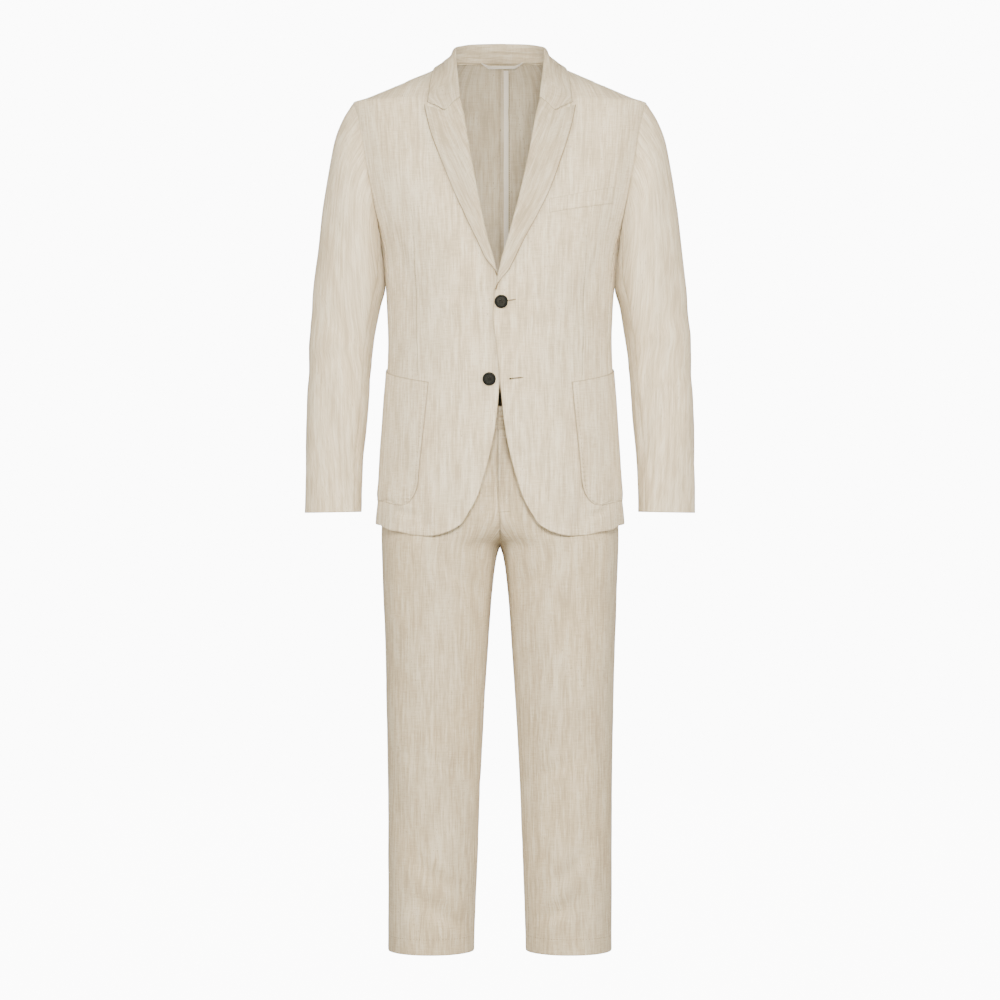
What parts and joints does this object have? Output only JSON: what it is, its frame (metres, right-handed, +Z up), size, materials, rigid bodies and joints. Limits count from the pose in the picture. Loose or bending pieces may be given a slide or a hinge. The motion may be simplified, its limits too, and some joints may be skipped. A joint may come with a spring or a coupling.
{
  "type": "linen suit",
  "caption": "Worn, filled-out form of a linen jacket with notched lapels and patch pockets over straight cropped trousers, all hollow cloth walls.",
  "frame": {"origin": "base of the neck, between the points where the shoulder seams meet the neckline", "axes": "+Z up along the body, the front faces -Y, +X is the wearer's left"},
  "size_m": [0.601, 0.2752, 1.4122],
  "materials": {
    "jacket_linen": "plain woven linen with uneven upright slubs, matte",
    "trouser_linen": "plain woven linen with uneven upright slubs, matte",
    "tape_cloth": "pale cotton tape, matte",
    "button_resin": "dark resin, slightly glossy"
  },
  "bodies": {
    "root": {"back_seam_tape": "tape_cloth", "breast_welt": "jacket_linen", "button_lower": "button_resin", "button_top": "button_resin", "collar": "jacket_linen", "collar_stand": "jacket_linen", "fly_shield": "trouser_linen", "hanger_loop": "tape_cloth", "jacket_back_left": "jacket_linen", "jacket_back_right": "jacket_linen", "jacket_front_left": "jacket_linen", "jacket_front_right": "jacket_linen", "jacket_side_left": "jacket_linen", "jacket_side_right": "jacket_linen", "lapel_left": "jacket_linen", "lapel_right": "jacket_linen", "patch_pocket_left": "jacket_linen", "patch_pocket_right": "jacket_linen", "sleeve_top_left": "jacket_linen", "sleeve_top_right": "jacket_linen", "sleeve_under_left": "jacket_linen", "sleeve_under_right": "jacket_linen", "trouser_back_left": "trouser_linen", "trouser_back_right": "trouser_linen", "trouser_front_left": "trouser_linen", "trouser_front_right": "trouser_linen", "waistband_left": "trouser_linen", "waistband_right": "trouser_linen"}
  },
  "joints": []
}
